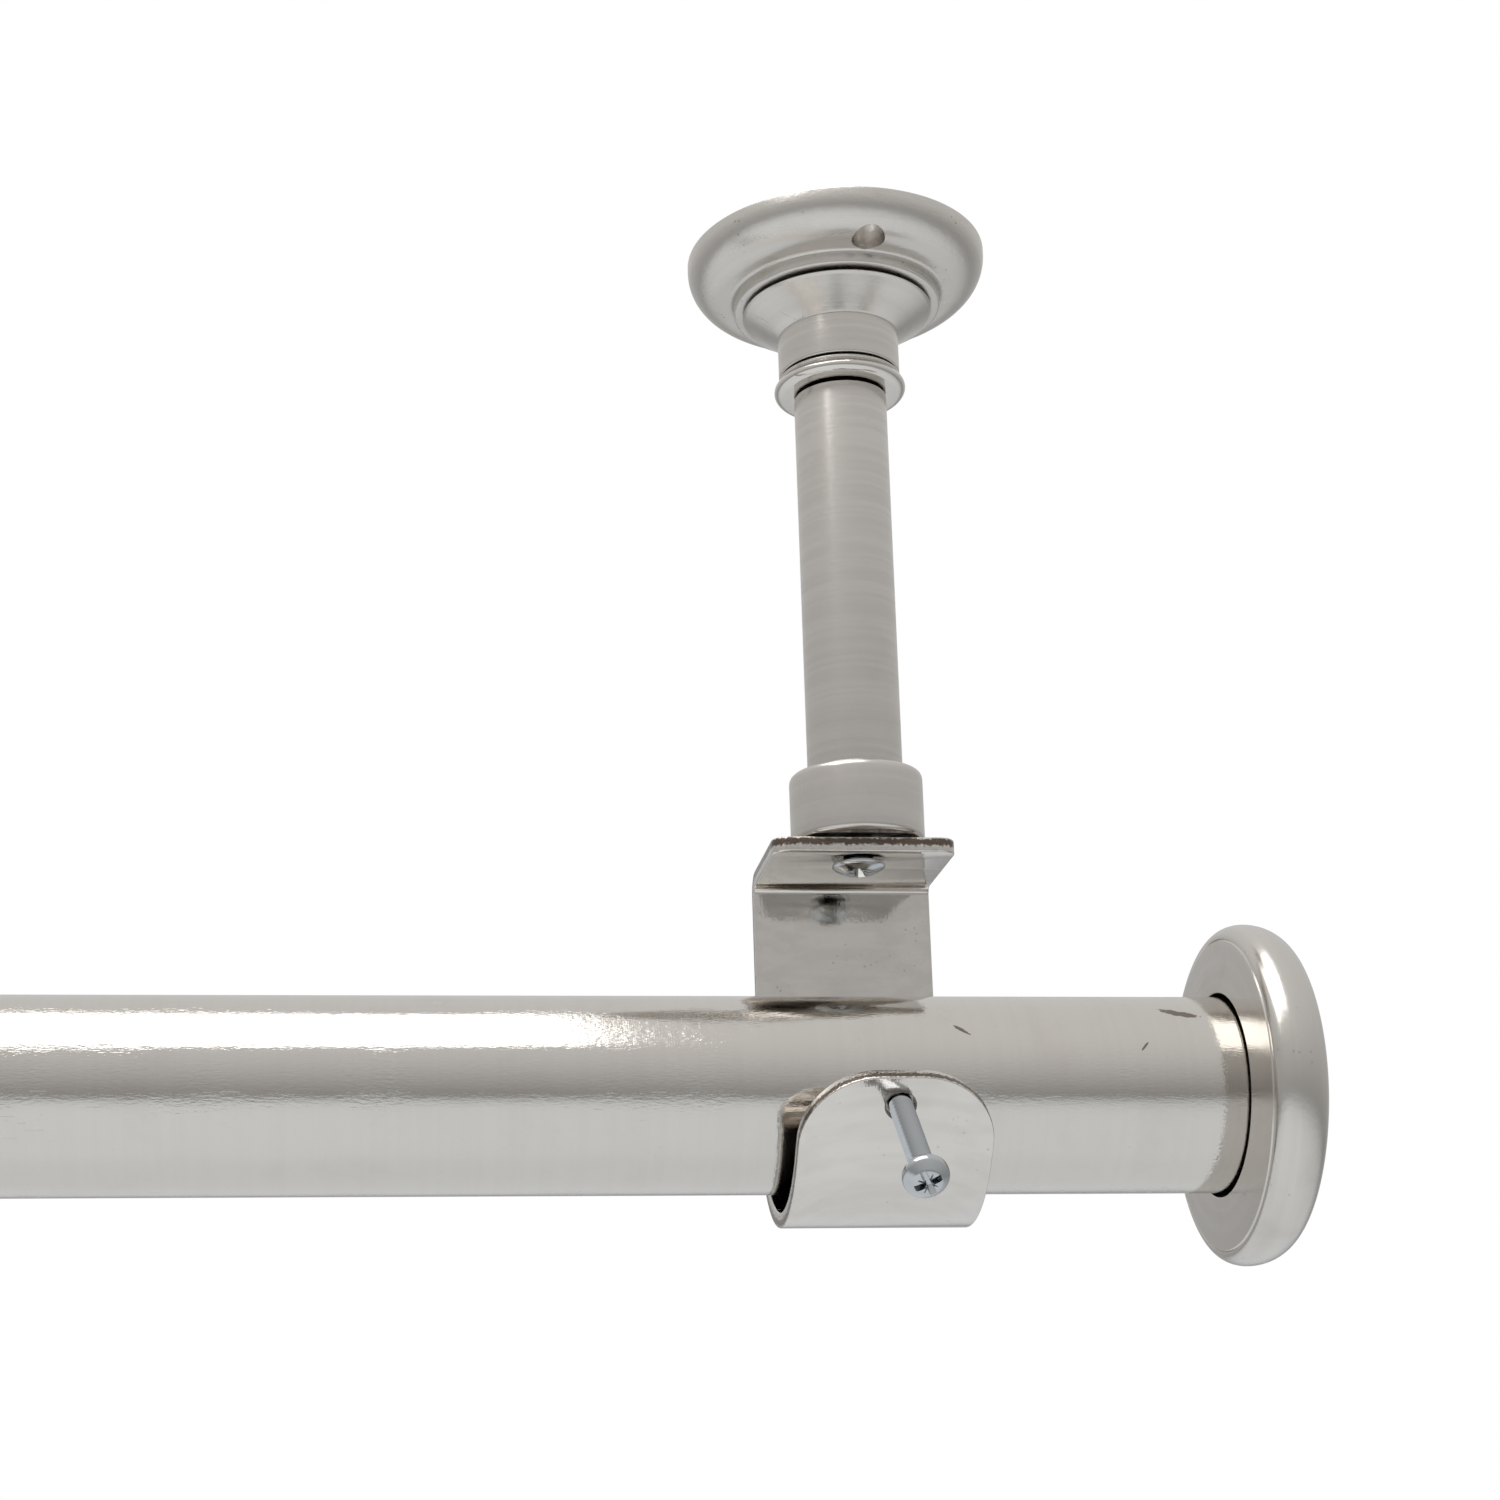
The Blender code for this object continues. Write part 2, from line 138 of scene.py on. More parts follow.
def skin_group():
    """The faint orange peel of a plated casting, with small pits here and there."""
    tree, given, answer = finish_group("skin", {"Grain": 1100.0}, ("Height", "Pits", "Dashes"))
    tree.links.new(noise(tree, given["Vector"], given["Grain"], 3.0, 0.55), answer["Height"])
    cells = put(tree, "TexVoronoi", {"Vector": given["Vector"], "Scale": 900.0}).outputs
    dot = rise(tree, cells["Distance"], 0.10, 0.20, 1.0, 0.0)
    chosen = rise(tree, noise(tree, given["Vector"], 170.0, 1.0), 0.58, 0.66)
    tree.links.new(maths(tree, "MULTIPLY", dot, chosen), answer["Pits"])
    drawn_out = {"Vector": given["Vector"], "Scale": (3400.0, 3400.0, 900.0)}
    dash = noise(tree, put(tree, "Mapping", drawn_out).outputs[0], 1.0, 2.0, 0.6)
    patch = rise(tree, noise(tree, given["Vector"], 70.0, 2.0), 0.42, 0.66, 0.35, 1.0)
    tree.links.new(maths(tree, "MULTIPLY", dash, patch), answer["Dashes"])
    return tree


def wear_group():
    """Marks of handling: short fine scratches two ways, and soft stains."""
    tree, given, answer = finish_group("wear", {}, ("Scratches", "Stains"))
    found = None
    for turn, stretch in ((0.6, (2600.0, 160.0, 160.0)), (-1.1, (190.0, 3000.0, 190.0))):
        turned_to = {"Vector": given["Vector"], "Rotation": (turn, turn, turn), "Scale": stretch}
        line = noise(tree, put(tree, "Mapping", turned_to).outputs[0], 1.0, 1.0)
        thin = rise(tree, line, 0.735, 0.775)
        found = maths(tree, "MAXIMUM", found, thin) if found else thin
    patchy = rise(tree, noise(tree, given["Vector"], 55.0, 1.0), 0.50, 0.62)
    tree.links.new(maths(tree, "MULTIPLY", found, patchy), answer["Scratches"])
    stain = rise(tree, noise(tree, given["Vector"], 95.0, 4.0, 0.6), 0.50, 0.72)
    tree.links.new(stain, answer["Stains"])
    return tree


BRUSHING = brushing_group()
SKIN = skin_group()
WEAR = wear_group()


def plated(name, colour, at, turn, lines, peel, roughness, stain, pits,
           tone=0.94, fine=3500.0, dash=0.0, worn=0.000012):
    """A plated metal, brushed round an axis through at that turn brings to Z."""
    material = bpy.data.materials.new(name)
    material.use_nodes = True
    tree = material.node_tree
    shader = tree.nodes["Principled BSDF"]
    shader.inputs["Metallic"].default_value = 1.0
    here = put(tree, "TexCoord").outputs["Object"]
    given = {"Vector": here, "Location": at, "Rotation": turn}
    place = put(tree, "Mapping", given, vector_type="TEXTURE").outputs[0]
    brushed = put(tree, "Group", {"Vector": place, "Lines": fine}, node_tree=BRUSHING).outputs
    skin = put(tree, "Group", {"Vector": place}, node_tree=SKIN).outputs
    wear = put(tree, "Group", {"Vector": place}, node_tree=WEAR).outputs
    shade = blended(tree, brushed["Streaks"], colour, tuple(tone * part for part in colour))
    stained = blended(tree, maths(tree, "MULTIPLY", wear["Stains"], stain), shade, TARNISH)
    pitted = blended(tree, maths(tree, "MULTIPLY", skin["Pits"], pits), stained, TARNISH)
    tree.links.new(pitted, shader.inputs["Base Color"])
    dull = maths(tree, "ADD", rise(tree, brushed["Streaks"], 0, 1, roughness, 1.15 * roughness),
                 maths(tree, "MULTIPLY", wear["Scratches"], 0.16))
    tree.links.new(dull, shader.inputs["Roughness"])
    rough = {"Height": skin["Height"], "Strength": 1.0, "Distance": peel}
    soft = put(tree, "Bump", rough).outputs[0]
    drawn = {"Height": skin["Dashes"], "Strength": 1.0, "Distance": dash, "Normal": soft}
    soft = put(tree, "Bump", drawn).outputs[0]
    ringed = {"Height": brushed["Height"], "Strength": 1.0, "Distance": lines, "Normal": soft}
    scored = put(tree, "Bump", ringed).outputs[0]
    deep = {"Height": wear["Scratches"], "Strength": 1.0, "Distance": worn, "Normal": scored}
    tree.links.new(put(tree, "Bump", deep, invert=True).outputs[0], shader.inputs["Normal"])
    return material


def middle(node):
    low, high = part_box(node)
    return (Vector(low) + Vector(high)) / 2


def arc(centre, radii, start, end, steps=20):
    """Corners down an ellipse about centre, from one angle in degrees to another."""
    angles = [radians(start + (end - start) * step / steps) for step in range(steps + 1)]
    return [(centre[0] + radii[0] * cos(a), centre[1] + radii[1] * sin(a), 0) for a in angles]


def softened(corners, steps=5):
    """A closed outline from corners of (radius, height, rounding), each rounding a small curve."""
    path = []
    for number, (across, up, rounding) in enumerate(corners):
        here = Vector((across, up))
        if not rounding:
            path.append((across, up))
            continue
        back = Vector(corners[number - 1][:2]) - here
        on = Vector(corners[(number + 1) % len(corners)][:2]) - here
        reach = rounding / tan(back.angle(on) / 2)
        ends = [side.normalized() * min(reach, 0.49 * side.length) for side in (back, on)]
        for step in range(steps + 1):
            t = step / steps
            point = here + ends[0] * (1 - t) ** 2 + ends[1] * t**2
            path.append((point.x, point.y))
    return path


def turn_into(shape, path, place, steps=160):
    """Adds to a bmesh the solid that a closed outline sweeps about its own Z, put in place."""
    rings = []
    for step in range(steps):
        a = 2 * pi * step / steps
        ring = [place @ Vector((r * cos(a), r * sin(a), height)) for r, height in path]
        rings.append([shape.verts.new(point) for point in ring])
    for near, far in zip(rings, rings[1:] + rings[:1]):
        for k in range(len(path)):
            if path[k - 1][0] or path[k][0]:
                shape.faces.new((near[k - 1], near[k], far[k], far[k - 1]))


def as_piece(name, shape, material):
    """A finished piece: doubles merged, faces outwards, smooth but for its sharp edges."""
    bmesh.ops.remove_doubles(shape, verts=shape.verts, dist=2e-7)
    bmesh.ops.recalc_face_normals(shape, faces=shape.faces)
    mesh = bpy.data.meshes.new(name)
    shape.to_mesh(mesh)
    shape.free()
    mesh.shade_smooth()
    mesh.set_sharp_from_angle(angle=radians(38))
    mesh.materials.append(material)
    piece = bpy.data.objects.new(name, mesh)
    bpy.context.scene.collection.objects.link(piece)
    return piece


def turned(name, corners, place, material, steps=160):
    shape = bmesh.new()
    turn_into(shape, softened(corners), place, steps)
    return as_piece(name, shape, material)


def cut_out(piece, cutters):
    """Cuts the cutters out of a piece and leaves it a plain mesh."""
    for cutter in cutters:
        hole = piece.modifiers.new("hole", "BOOLEAN")
        hole.operation = "DIFFERENCE"
        hole.object = cutter
    graph = bpy.context.evaluated_depsgraph_get()
    mesh = bpy.data.meshes.new_from_object(piece.evaluated_get(graph), depsgraph=graph)
    piece.modifiers.clear()
    piece.data = mesh
    mesh.shade_smooth()
    mesh.set_sharp_from_angle(angle=radians(38))
    for cutter in cutters:
        bpy.data.objects.remove(cutter)


def stand_in(piece, node, body):
    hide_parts(node)
    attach(piece, body)


SATIN = {}
for side in SIDES:
    axis = middle(f"{side}_post_tube")
    at = (axis.x, axis.y, 0)
    cast = plated(
        f"{side}_cast_nickel", COLOURS["satin_nickel"], at, (0, 0, 0),
        lines=0.000003, peel=0.000034, roughness=0.27, stain=0.16, pits=0.8, tone=0.97,
    )
    low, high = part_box(f"{side}_ceiling_flange")
    radius = (high[0] - low[0]) / 2
    rim = radius - FLANGE_RIM_WIDTH
    face = low[2] + FLANGE_HUB_HEIGHT
    outline = [
        (0, high[2], 0),
        (radius, high[2], 0.0002),
        *arc((rim, -FLANGE_EDGE), (FLANGE_RIM_WIDTH, -FLANGE_EDGE - face), 0, -90, 28),
        (FLANGE_HUB_RADIUS, face, 0.0007),
        (FLANGE_HUB_RADIUS, low[2], 0.0004),
        (STUD_HOLE_RADIUS, low[2], 0.0003),
        (STUD_HOLE_RADIUS, -FLANGE_BACK_WALL, 0),
        (0, -FLANGE_BACK_WALL, 0),
    ]
    upright = Matrix.Translation(at)
    flange = turned(f"{side}_flange_disc", outline, upright, cast, 192)
    drills = []
    for turn in (FLANGE_HOLE_TURN, FLANGE_HOLE_TURN + pi):
        spot = Vector((cos(turn), sin(turn), 0)) * FLANGE_HOLE_REACH
        drill = [(0, 0.001, 0), (FLANGE_HOLE_RADIUS, 0.001, 0),
                 (FLANGE_HOLE_RADIUS, -0.009, 0), (0, -0.009, 0)]
        drills.append(turned("drill", drill, upright @ Matrix.Translation(spot), cast, 72))
    cut_out(flange, drills)
    stand_in(flange, f"{side}_ceiling_flange", f"{side}_mount")

# Flange cones. Each is turned from bar with its neck, brushed as it spins, and plated. It sits
# on the hub and carries the load of the post's stud into the flange.
CONE_HEIGHT = 0.0038
NECK_RADIUS = 0.0082

for side in SIDES:
    axis = middle(f"{side}_post_tube")
    at = (axis.x, axis.y, 0)
    low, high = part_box(f"{side}_flange_cone")
    SATIN[side] = plated(
        f"{side}_turned_nickel", COLOURS["satin_nickel"], at, (0, 0, 0),
        lines=0.000007, peel=0.000010, roughness=0.23, stain=0.14, pits=0.2, tone=0.93, fine=4200.0,
    )
    outline = [
        (STUD_HOLE_RADIUS, high[2], 0.0003),
        ((high[0] - low[0]) / 2, high[2], 0.0003),
        (NECK_RADIUS - 0.0004, high[2] - CONE_HEIGHT + 0.0002, 0.0003),
        (NECK_RADIUS, high[2] - CONE_HEIGHT, 0.0001),
        (NECK_RADIUS, low[2], 0.0003),
        (STUD_HOLE_RADIUS, low[2], 0.0003),
    ]
    cone = turned(f"{side}_cone_and_neck", outline, Matrix.Translation(at), SATIN[side])
    stand_in(cone, f"{side}_flange_cone", f"{side}_mount")

# Trim beads. Each is a two-step brass ring, turned, buffed and plated bright, slipped over the
# stud so that it hides the joint of neck and post.
for side in SIDES:
    axis = middle(f"{side}_post_tube")
    at = (axis.x, axis.y, 0)
    low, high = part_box(f"{side}_trim_bead")
    radius = (high[0] - low[0]) / 2
    bright = plated(
        f"{side}_buffed_nickel", COLOURS["polished_nickel"], at, (0, 0, 0),
        lines=0.000001, peel=0.000014, roughness=0.09, stain=0.1, pits=0.3, tone=0.98,
    )
    outline = [
        (STUD_HOLE_RADIUS, high[2], 0.0002),
        *arc((radius - 0.0010, high[2] - 0.0003), (0.0004, 0.0003), 90, -70, 12),
        *arc((radius - 0.0011, high[2] - 0.0016), (0.0011, 0.0010), 75, -90, 18),
        (STUD_HOLE_RADIUS, low[2], 0.0002),
    ]
    bead = turned(f"{side}_bead_ring", outline, Matrix.Translation(at), bright)
    stand_in(bead, f"{side}_trim_bead", f"{side}_mount")

# Posts. Each is a length of drawn steel tube, squared at its ends, brushed round on a belt and
# plated. The stud inside it draws it tight between the bead and the collar.
POST_WALL = 0.0012

for side in SIDES:
    axis = middle(f"{side}_post_tube")
    low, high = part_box(f"{side}_post_tube")
    radius = (high[0] - low[0]) / 2
    outline = [
        (radius, low[2], 0.0002), (radius, high[2], 0.0002),
        (radius - POST_WALL, high[2], 0.0002), (radius - POST_WALL, low[2], 0.0002),
    ]
    post = turned(f"{side}_post_sleeve", outline, Matrix.Translation((axis.x, axis.y, 0)), SATIN[side])
    stand_in(post, f"{side}_post_tube", f"{side}_mount")

# Post collars. Each is a turned foot with a rounded shoulder and a threaded hole from each end:
# the stud screws in from above and the holder's screw from below.
COLLAR_WEB = 0.0017
COLLAR_SCREW_HOLE = 0.0023

for side in SIDES:
    axis = middle(f"{side}_post_tube")
    low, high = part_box(f"{side}_post_collar")
    radius = (high[0] - low[0]) / 2
    web = (low[2] + high[2]) / 2
    outline = [
        (0, web + COLLAR_WEB / 2, 0), (STUD_HOLE_RADIUS, web + COLLAR_WEB / 2, 0),
        (STUD_HOLE_RADIUS, high[2], 0.0003), (radius, high[2], 0.0010),
        (radius, low[2], 0.0007), (COLLAR_SCREW_HOLE, low[2], 0.0003),
        (COLLAR_SCREW_HOLE, web - COLLAR_WEB / 2, 0), (0, web - COLLAR_WEB / 2, 0),
    ]
    collar = turned(f"{side}_collar_foot", outline, Matrix.Translation((axis.x, axis.y, 0)), SATIN[side])
    stand_in(collar, f"{side}_post_collar", f"{side}_mount")

# Studs, holder screws and set screws. All are cold-headed steel with a rolled thread and bright
# zinc plate. The stud is a plain threaded length, the holder's screw clamps the strip to the
# collar, and the set screw, backed off here, bears on the rod once it is driven in. Both screws
# have a cross recess in a pan head.
HOLDER_SCREW = {"radius": 0.0020, "pitch": 0.0007, "head": 0.0035, "height": 0.0013, "turn": 20}
SET_SCREW = {"radius": 0.0015, "pitch": 0.0008, "head": 0.0028, "height": 0.0022, "turn": 28}
STUD = {"radius": 0.0030, "pitch": 0.0010}
# Each cut of the recess: length and width by the head's radius, depth, and its turns in degrees.
RECESS_CUTS = ((1.4, 0.32, 0.0012, (0, 90)), (1.15, 0.09, 0.0004, (45, -45)))
RECESS_TAPER = 0.45
DULL_ZINC = (0.50, 0.52, 0.53, 1)


def thread_tree():
    """A ridge of four sides, carried up a helix round the screw's core."""
    tree = bpy.data.node_groups.new("rolled_thread", "GeometryNodeTree")
    for socket in ("Length", "Turns", "Core radius", "Ridge height"):
        tree.interface.new_socket(socket, in_out="INPUT", socket_type="NodeSocketFloat")
    tree.interface.new_socket("Material", in_out="INPUT", socket_type="NodeSocketMaterial")
    tree.interface.new_socket("Geometry", in_out="OUTPUT", socket_type="NodeSocketGeometry")
    given = tree.nodes.new("NodeGroupInput").outputs
    helix = tree.nodes.new("GeometryNodeCurveSpiral")
    helix.inputs["Resolution"].default_value = 28
    tree.links.new(given["Turns"], helix.inputs["Rotations"])
    tree.links.new(given["Core radius"], helix.inputs["Start Radius"])
    tree.links.new(given["Core radius"], helix.inputs["End Radius"])
    tree.links.new(given["Length"], helix.inputs["Height"])
    level = tree.nodes.new("GeometryNodeSetCurveNormal")
    level.mode = "Z_UP"
    tree.links.new(helix.outputs[0], level.inputs[0])
    ridge = tree.nodes.new("GeometryNodeCurvePrimitiveCircle")
    ridge.inputs["Resolution"].default_value = 4
    tree.links.new(given["Ridge height"], ridge.inputs["Radius"])
    sweep = tree.nodes.new("GeometryNodeCurveToMesh")
    sweep.inputs["Fill Caps"].default_value = True
    tree.links.new(level.outputs[0], sweep.inputs["Curve"])
    tree.links.new(ridge.outputs[0], sweep.inputs["Profile Curve"])
    real = tree.nodes.new("GeometryNodeRealizeInstances")
    tree.links.new(sweep.outputs[0], real.inputs[0])
    dressed = tree.nodes.new("GeometryNodeSetMaterial")
    tree.links.new(real.outputs[0], dressed.inputs["Geometry"])
    tree.links.new(given["Material"], dressed.inputs["Material"])
    tree.links.new(dressed.outputs[0], tree.nodes.new("NodeGroupOutput").inputs[0])
    return tree


THREAD = thread_tree()


def thread_into(shape, start, length, screw, place, material):
    """Adds a rolled thread to a bmesh, from start along the screw's own Z."""
    carrier = bpy.data.objects.new("thread", bpy.data.meshes.new("thread"))
    bpy.context.scene.collection.objects.link(carrier)
    depth = screw["pitch"] / 2
    values = {
        "Length": length, "Turns": length / screw["pitch"], "Core radius": screw["radius"] - depth,
        "Ridge height": depth * 0.98, "Material": material,
    }
    rolling = carrier.modifiers.new("rolling", "NODES")
    rolling.node_group = THREAD
    for socket in THREAD.interface.items_tree:
        if socket.in_out == "INPUT":
            rolling[socket.identifier] = values[socket.name]
    graph = bpy.context.evaluated_depsgraph_get()
    mesh = bpy.data.meshes.new_from_object(carrier.evaluated_get(graph), depsgraph=graph)
    mesh.transform(place @ Matrix.Translation((0, 0, start)))
    shape.from_mesh(mesh)
    bpy.data.objects.remove(carrier)


def recess_blade(length, width, depth, top, turn, place, material):
    """One blade of a cross recess, narrowing as it goes down from the top of the head."""
    shape = bmesh.new()
    for height, shrink in ((top + 0.0002, 1.0), (top - depth, RECESS_TAPER)):
        for across, along in ((-1, -1), (1, -1), (1, 1), (-1, 1)):
            shape.verts.new((along * length / 2 * shrink, across * width / 2 * shrink, height))
    shape.verts.ensure_lookup_table()
    for quad in ((0, 1, 2, 3), (7, 6, 5, 4), (0, 4, 5, 1), (1, 5, 6, 2), (2, 6, 7, 3), (3, 7, 4, 0)):
        shape.faces.new([shape.verts[k] for k in quad])
    spin = place @ Matrix.Rotation(radians(turn), 4, "Z")
    bmesh.ops.transform(shape, matrix=spin, verts=shape.verts)
    return as_piece("blade", shape, material)


def end_centres(node, axis):
    """The centres of a CAD screw's two ends, the tip first."""
    spots = {tuple(round(part, 7) for part in vertex.co) for vertex in frame["nodes"][node].data.vertices}
    ends = []
    for pick in (min, max):
        last = pick(Vector(spot).dot(axis) for spot in spots)
        ring = [Vector(spot) for spot in spots if abs(Vector(spot).dot(axis) - last) < 2e-6]
        ends.append(sum(ring, Vector()) / len(ring))
    return ends


def make_screw(name, node, axis, screw, material):
    """A pan-head screw with a rolled thread and a cross recess, its head at the far end of axis."""
    tip, top = end_centres(node, axis)
    length = (top - tip).length
    place = Matrix.Translation(tip) @ Vector((0, 0, 1)).rotation_difference(axis).to_matrix().to_4x4()
    core = screw["radius"] - screw["pitch"] / 2
    under = length - screw["height"]
    head = screw["head"]
    outline = [
        (0, 0, 0), (core * 0.7, 0, 0.0001), (core, 0.0005, 0.0001), (core, under - 0.0004, 0),
        (core + 0.0004, under, 0), (head, under, 0.00035), (head, under + screw["height"] * 0.4, 0.0009),
        (head * 0.55, length, 0.0010), (0, length, 0),
    ]
    shape = bmesh.new()
    turn_into(shape, softened(outline), place, 96)
    made = as_piece(name, shape, material)
    blades = [
        recess_blade(head * long, head * wide, depth, length, screw["turn"] + turn, place, material)
        for long, wide, depth, turns in RECESS_CUTS for turn in turns
    ]
    cut_out(made, blades)
    shape = bmesh.new()
    shape.from_mesh(made.data)
    bpy.data.objects.remove(made)
    thread_into(shape, 0.0003, under - 0.0008, screw, place, material)
    return as_piece(name, shape, material)


def way_out(side):
    """The direction in which a set screw backs out of its lip."""
    name = f"{side}_set_screw_travel"
    return next(joint["axis"] for joint in frame["record"]["behaviour"]["joints"] if joint["name"] == name)


for side in SIDES:
    axis = middle(f"{side}_post_tube")
    at = (axis.x, axis.y, 0)
    zinc = plated(
        f"{side}_bright_zinc", DULL_ZINC, at, (0, 0, 0),
        lines=0.0, peel=0.000010, roughness=0.15, stain=0.12, pits=0.3, tone=0.98,
    )
    low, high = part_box(f"{side}_post_stud")
    place = Matrix.Translation((axis.x, axis.y, 0))
    core = STUD["radius"] - STUD["pitch"] / 2
    shape = bmesh.new()
    rod_outline = [(0, low[2], 0), (core, low[2], 0.0002), (core, high[2], 0.0002), (0, high[2], 0)]
    turn_into(shape, softened(rod_outline), place, 72)
    thread_into(shape, low[2] + 0.0006, high[2] - low[2] - 0.0012, STUD, place, zinc)
    stud = as_piece(f"{side}_threaded_stud", shape, zinc)
    stand_in(stud, f"{side}_post_stud", f"{side}_mount")
    screw = make_screw(
        f"{side}_plate_screw", f"{side}_holder_screw", Vector((0, 0, -1)), HOLDER_SCREW, zinc
    )
    stand_in(screw, f"{side}_holder_screw", f"{side}_holder")
    outward = Vector(way_out(side)).normalized()
    clamp = make_screw(f"{side}_clamp_screw", f"{side}_set_screw", outward, SET_SCREW, zinc)
    stand_in(clamp, f"{side}_set_screw", f"{side}_clamp")

# Rod holders. Each is a blank sheared from 2 mm steel strip, drilled, bent once square and once
# round under the rod, then plated bright. The sheared edges stay rough under the plating. It
# hangs from the collar by its screw, and its lip carries the set screw.
STRIP_SHEET = 0.0020
STRIP_PLATE_FRONT = 0.0052
STRIP_PLATE_CORNER = 0.0022
STRIP_BEND = 0.0010
STRIP_LIP_LENGTH = 0.0118
STRIP_LIP_CORNER = 0.0095
STRIP_LIP_HOLE_FROM_TIP = 0.0040
STRIP_EDGE_ROUNDING = 0.00022
STRIP_PLATE_HOLE = 0.0023
STRIP_LIP_HOLE = 0.0018
BARE_STEEL = (0.13, 0.10, 0.08, 1)


def strip_runs(side, tube, lip_angle):
    """The bent strip's inner face as runs of (length, start or centre, angle, radius or 0)."""
    low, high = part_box(f"{side}_rod_holder")
    rod = middle(tube)
    under = high[2] - STRIP_SHEET
    back = high[1] - STRIP_SHEET
    cradle = rod.z - low[2] - STRIP_SHEET
    front = middle(f"{side}_post_tube").y - STRIP_PLATE_FRONT
    lip = (back - cradle + cradle * cos(lip_angle), rod.z + cradle * sin(lip_angle))
    return [
        (back - STRIP_BEND - front, (front, under), pi / 2, 0),
        (STRIP_BEND * pi / 2, (back - STRIP_BEND, under - STRIP_BEND), pi / 2, STRIP_BEND),
        (under - STRIP_BEND - rod.z, (back, under - STRIP_BEND), 0, 0),
        (-cradle * lip_angle, (back - cradle, rod.z), 0, cradle),
        (STRIP_LIP_LENGTH, lip, lip_angle, 0),
    ]


def on_strip(runs, along, out):
    """(y, z) of a point of the flat blank once it is bent, along it and out from its inner face."""
    for run in runs:
        length, spot, angle, radius = run
        if along <= length + 1e-9 or run is runs[-1]:
            break
        along -= length
    if radius:
        angle -= along / radius
        return spot[0] + (radius + out) * cos(angle), spot[1] + (radius + out) * sin(angle)
    y = spot[0] + along * sin(angle) + out * cos(angle)
    return y, spot[1] - along * cos(angle) + out * sin(angle)


def blank_corner(centre, radius, start):
    return [(p[0], p[1]) for p in arc(centre, (radius, radius), start, start + 90, 14)]


def flat_blank(name, length, half, material):
    """The sheared and drilled blank, lying flat, its broken edges a little rounded."""
    far = length - STRIP_LIP_CORNER
    outline = blank_corner((STRIP_PLATE_CORNER, STRIP_PLATE_CORNER - half), STRIP_PLATE_CORNER, 180)
    outline += blank_corner((far, STRIP_LIP_CORNER - half), STRIP_LIP_CORNER, 270)
    outline += blank_corner((far, half - STRIP_LIP_CORNER), STRIP_LIP_CORNER, 0)
    outline += blank_corner((STRIP_PLATE_CORNER, half - STRIP_PLATE_CORNER), STRIP_PLATE_CORNER, 90)
    shape = bmesh.new()
    lower = [shape.verts.new((x, y, 0)) for x, y in outline]
    upper = [shape.verts.new((x, y, STRIP_SHEET)) for x, y in outline]
    shape.faces.new(lower)
    shape.faces.new(upper)
    for k in range(len(outline)):
        shape.faces.new((lower[k - 1], lower[k], upper[k], upper[k - 1]))
    blank = as_piece(name, shape, material)
    drills = []
    for spot, radius in (
        (STRIP_PLATE_FRONT, STRIP_PLATE_HOLE),
        (length - STRIP_LIP_HOLE_FROM_TIP, STRIP_LIP_HOLE),
    ):
        drill = [(0, -0.001, 0), (radius, -0.001, 0), (radius, 0.003, 0), (0, 0.003, 0)]
        drills.append(turned("drill", drill, Matrix.Translation((spot, 0, 0)), material, 64))
    cut_out(blank, drills)
    broken = blank.modifiers.new("broken_edges", "BEVEL")
    broken.width = STRIP_EDGE_ROUNDING
    broken.segments = 3
    broken.angle_limit = radians(60)
    graph = bpy.context.evaluated_depsgraph_get()
    mesh = bpy.data.meshes.new_from_object(blank.evaluated_get(graph), depsgraph=graph)
    bpy.data.objects.remove(blank)
    return mesh


def bent_strip(name, side, runs, material):
    """Bends the flat blank along its runs and marks where its surface is a sheared edge."""
    low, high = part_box(f"{side}_rod_holder")
    length = sum(run[0] for run in runs)
    shape = bmesh.new()
    shape.from_mesh(flat_blank(name, length, (high[0] - low[0]) / 2, material))
    start = 0
    for run, steps in zip(runs, (6, 10, 8, 64, 4)):
        for step in range(steps + 1):
            cut = start + run[0] * step / steps
            if 1e-5 < cut < length - 1e-5:
                everything = shape.verts[:] + shape.edges[:] + shape.faces[:]
                bmesh.ops.bisect_plane(shape, geom=everything, plane_co=(cut, 0, 0), plane_no=(1, 0, 0))
        start += run[0]
    sheared = shape.faces.layers.float.new("sheared")
    along = shape.loops.layers.uv.new("strip")
    through = shape.verts.layers.float.new("through")
    shape.normal_update()
    for face in shape.faces:
        face[sheared] = 1 - abs(face.normal.z)
        for loop in face.loops:
            loop[along].uv = loop.vert.co.xy
    centre = (low[0] + high[0]) / 2
    for vertex in shape.verts:
        vertex[through] = vertex.co.z / STRIP_SHEET
        vertex.co = (centre + vertex.co.y, *on_strip(runs, vertex.co.x, vertex.co.z))
    return as_piece(name, shape, material)


